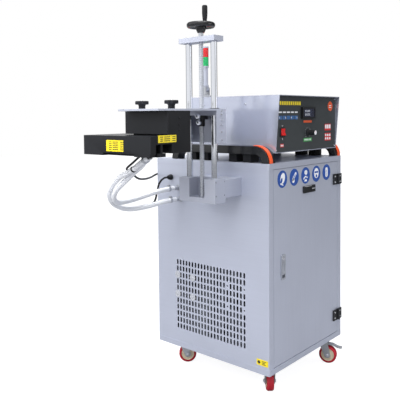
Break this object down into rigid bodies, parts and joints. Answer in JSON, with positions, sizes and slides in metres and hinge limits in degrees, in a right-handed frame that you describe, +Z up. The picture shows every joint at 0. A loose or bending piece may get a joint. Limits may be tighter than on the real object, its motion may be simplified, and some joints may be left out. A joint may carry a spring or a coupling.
{
  "type": "induction cap sealer",
  "caption": "Wheeled cabinet induction cap sealer with a control box on top and a sealing head raised and lowered on a two-rod column by a handwheel.",
  "frame": {"origin": "on the floor under the middle of the cabinet", "axes": "+Z up; the door faces -Y; the column and the sealing head stand on the -X side"},
  "size_m": [1.0245, 0.6367, 1.475],
  "materials": {
    "stainless": "brushed, satin",
    "black_plastic": "matt",
    "black_gloss": "glossy",
    "head_black": "satin",
    "fan_black": "matt",
    "panel_grey": "satin powder coat",
    "orange_cover": "satin",
    "foot_rubber": "matt",
    "aluminium": "machined",
    "chromed": "polished",
    "zinc": "zinc plated",
    "lock_grey": "satin",
    "wheel_red": "smooth polyurethane tread on a cream hub",
    "hose_white": "smooth",
    "cable_black": "satin",
    "rail_dark": "matt",
    "rocker_red": "glossy",
    "lens_green": "clear coloured",
    "lens_red": "clear coloured",
    "unit_grey": "satin"
  },
  "bodies": {
    "root": {"base_pan": "stainless", "top_cap": "stainless", "side_left": "stainless", "side_right": "stainless", "back_panel": "stainless", "door_frame": "stainless", "hinge_leaves": "black_plastic", "column_arm": "aluminium", "column_base": "aluminium", "guide_rods": "chromed", "top_bar": "aluminium", "box_shell": "stainless", "box_panel": "panel_grey", "panel_bezels": "black_gloss", "handles": "head_black", "handle_grips": "orange_cover", "box_feet": "foot_rubber", "tower_base": "black_plastic", "hose_ports": "zinc", "hose_1": "hose_white", "hose_2": "hose_white", "cable_1": "cable_black", "cable_2": "cable_black", "caster_plates": "zinc", "fan_frames": "fan_black", "cooling_unit": "unit_grey"},
    "door": {"door": "stainless", "door_hinge_leaves": "black_plastic", "controller": "black_gloss", "lock_body": "lock_grey"},
    "lock_lever": {"lock_lever": "zinc"},
    "spindle": {"lead_screw": "zinc", "handwheel": "black_gloss"},
    "crank": {"crank_handle": "black_gloss"},
    "carriage": {"carriage": "aluminium", "lead_nut": "lock_grey", "head_plate": "aluminium", "head_housing": "head_black", "coil_block": "head_black", "end_plate": "head_black", "coil_rail": "rail_dark"},
    "knob_front": {"knob_front": "black_plastic"},
    "knob_rear": {"knob_rear": "black_plastic"},
    "rocker": {"rocker": "rocker_red"},
    "dial": {"dial": "black_plastic"},
    "signal_light": {"tower_post": "zinc", "tower_green": "lens_green", "tower_red": "lens_red"},
    "caster_fl": {"fork_fl": "zinc"},
    "wheel_fl": {"wheel_fl": "wheel_red"},
    "caster_fr": {"fork_fr": "zinc"},
    "wheel_fr": {"wheel_fr": "wheel_red"},
    "caster_rl": {"fork_rl": "zinc"},
    "wheel_rl": {"wheel_rl": "wheel_red"},
    "caster_rr": {"fork_rr": "zinc"},
    "wheel_rr": {"wheel_rr": "wheel_red"},
    "brake_fl": {"brake_fl": "zinc"},
    "brake_fr": {"brake_fr": "zinc"},
    "fan_a": {"fan_rotor_a": "fan_black"},
    "fan_b": {"fan_rotor_b": "fan_black"}
  },
  "joints": [
    {"name": "door_hinge", "type": "hinge", "parent": "root", "child": "door", "pos_m": [0.24525, -0.293, 0.503], "axis": [0, 0, 1], "range_deg": [0, 110]},
    {"name": "lock_lever_pivot", "type": "hinge", "parent": "door", "child": "lock_lever", "pos_m": [-0.1845, -0.288, 0.474], "axis": [1, 0, 0], "range_deg": [0, 60]},
    {"name": "carriage_slide", "type": "slide", "parent": "root", "child": "carriage", "axis": [0, 0, 1], "range_m": [-0.12, 0.235], "deforming": ["hose_1", "hose_2", "cable_1", "cable_2"]},
    {"name": "spindle_spin", "type": "hinge", "parent": "root", "child": "spindle", "pos_m": [-0.4, -0.074, 1.345], "axis": [0, 0, 1], "continuous": true},
    {"name": "crank_handle_spin", "type": "hinge", "parent": "spindle", "child": "crank", "pos_m": [-0.42036, -0.11073, 1.42], "axis": [0, 0, 1], "continuous": true},
    {"name": "knob_front_turn", "type": "hinge", "parent": "carriage", "child": "knob_front", "pos_m": [-0.613, -0.124, 1.101], "axis": [0, 0, 1], "continuous": true},
    {"name": "knob_rear_turn", "type": "hinge", "parent": "carriage", "child": "knob_rear", "pos_m": [-0.613, 0.02, 1.101], "axis": [0, 0, 1], "continuous": true},
    {"name": "rocker_tilt", "type": "hinge", "parent": "root", "child": "rocker", "pos_m": [-0.181, -0.285, 1.0115], "axis": [1, 0, 0], "range_deg": [0, 18]},
    {"name": "dial_turn", "type": "hinge", "parent": "root", "child": "dial", "pos_m": [0.003, -0.285, 1.005], "axis": [0, -1, 0], "range_deg": [-150, 150]},
    {"name": "signal_light_fold", "type": "hinge", "parent": "root", "child": "signal_light", "pos_m": [-0.195, 0.08, 1.185], "axis": [-1, 0, 0], "range_deg": [0, 90]},
    {"name": "swivel_fl", "type": "hinge", "parent": "root", "child": "caster_fl", "pos_m": [-0.195, -0.236, 0.1], "axis": [0, 0, 1], "continuous": true},
    {"name": "wheel_spin_fl", "type": "hinge", "parent": "caster_fl", "child": "wheel_fl", "pos_m": [-0.17236, -0.21632, 0.0375], "axis": [-0.6561, 0.7547, 0], "continuous": true},
    {"name": "brake_pedal_fl", "type": "hinge", "parent": "caster_fl", "child": "brake_fl", "pos_m": [-0.17689, -0.22026, 0.084], "axis": [-0.6561, 0.7547, 0], "range_deg": [-15, 0]},
    {"name": "swivel_fr", "type": "hinge", "parent": "root", "child": "caster_fr", "pos_m": [0.195, -0.236, 0.1], "axis": [0, 0, 1], "continuous": true},
    {"name": "wheel_spin_fr", "type": "hinge", "parent": "caster_fr", "child": "wheel_fr", "pos_m": [0.20477, -0.26437, 0.0375], "axis": [0.9455, 0.3256, 0], "continuous": true},
    {"name": "brake_pedal_fr", "type": "hinge", "parent": "caster_fr", "child": "brake_fr", "pos_m": [0.20281, -0.25869, 0.084], "axis": [0.9455, 0.3256, 0], "range_deg": [-15, 0]},
    {"name": "swivel_rl", "type": "hinge", "parent": "root", "child": "caster_rl", "pos_m": [-0.195, 0.236, 0.1], "axis": [0, 0, 1], "continuous": true},
    {"name": "wheel_spin_rl", "type": "hinge", "parent": "caster_rl", "child": "wheel_rl", "pos_m": [-0.17532, 0.21336, 0.0375], "axis": [0.7547, 0.6561, 0], "continuous": true},
    {"name": "swivel_rr", "type": "hinge", "parent": "root", "child": "caster_rr", "pos_m": [0.195, 0.236, 0.1], "axis": [0, 0, 1], "continuous": true},
    {"name": "wheel_spin_rr", "type": "hinge", "parent": "caster_rr", "child": "wheel_rr", "pos_m": [0.18979, 0.26554, 0.0375], "axis": [-0.9848, -0.1736, 0], "continuous": true},
    {"name": "fan_spin_a", "type": "hinge", "parent": "root", "child": "fan_a", "pos_m": [-0.2745, -0.132, 0.3725], "axis": [1, 0, 0], "continuous": true},
    {"name": "fan_spin_b", "type": "hinge", "parent": "root", "child": "fan_b", "pos_m": [-0.2745, 0.132, 0.3725], "axis": [1, 0, 0], "continuous": true}
  ],
  "couplings": [
    {"joint": "spindle_spin", "follows": "carriage_slide", "rad_per_m": 785.4}
  ]
}
